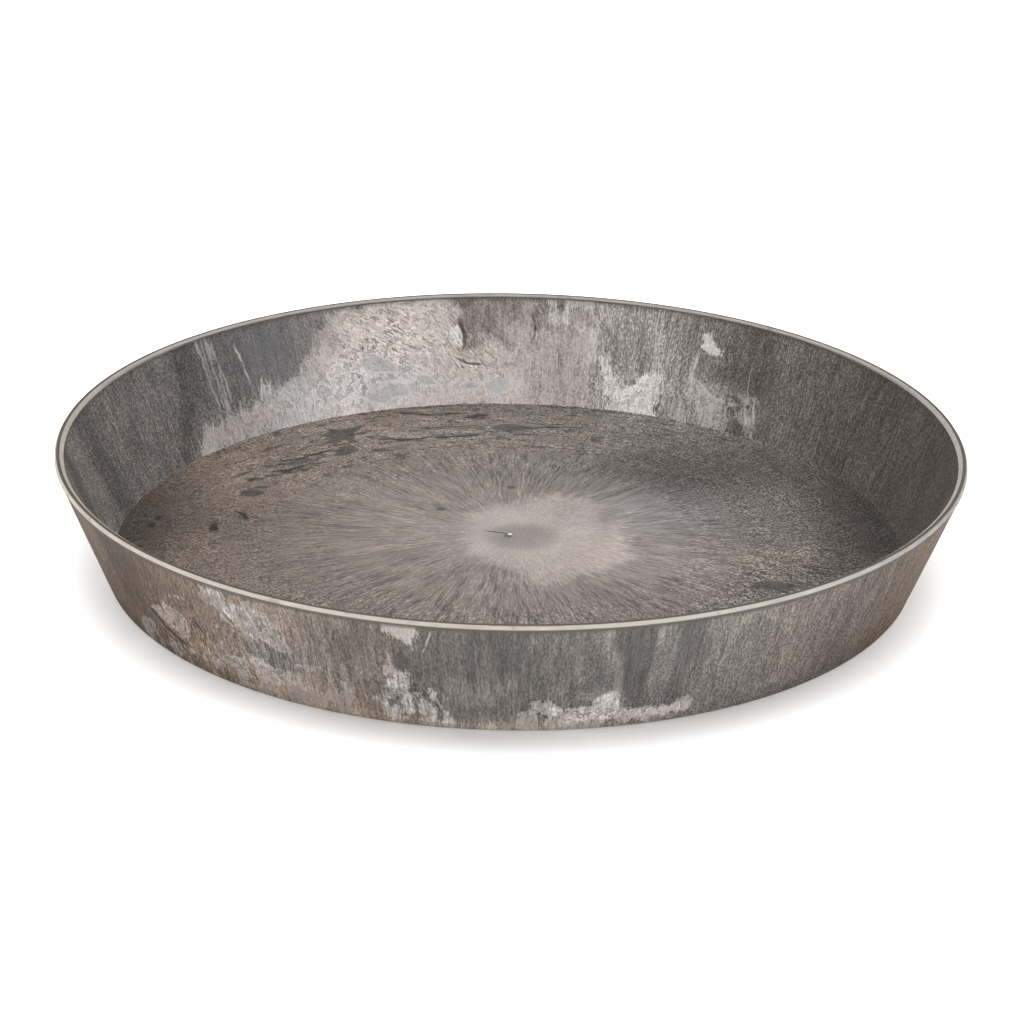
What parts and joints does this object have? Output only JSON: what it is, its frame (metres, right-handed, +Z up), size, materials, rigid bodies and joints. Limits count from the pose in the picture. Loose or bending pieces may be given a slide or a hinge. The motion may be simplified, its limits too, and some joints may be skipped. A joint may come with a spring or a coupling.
{
  "type": "plant saucer",
  "caption": "Round, shallow saucer with a leaning wall, a bevelled rim and a domed floor, which stands under a plant pot and catches the water that drains from it.",
  "frame": {"origin": "centre of the standing ring, on the ground", "axes": "+Z up along the dish's axis; -Y faces the viewer of the picture and +X is to the right"},
  "size_m": [0.37, 0.37, 0.051],
  "materials": {
    "stone_resin": "matte moulded stone effect, warm grey with pale and dark flow marks"
  },
  "bodies": {
    "root": {"saucer": "stone_resin"}
  },
  "joints": []
}
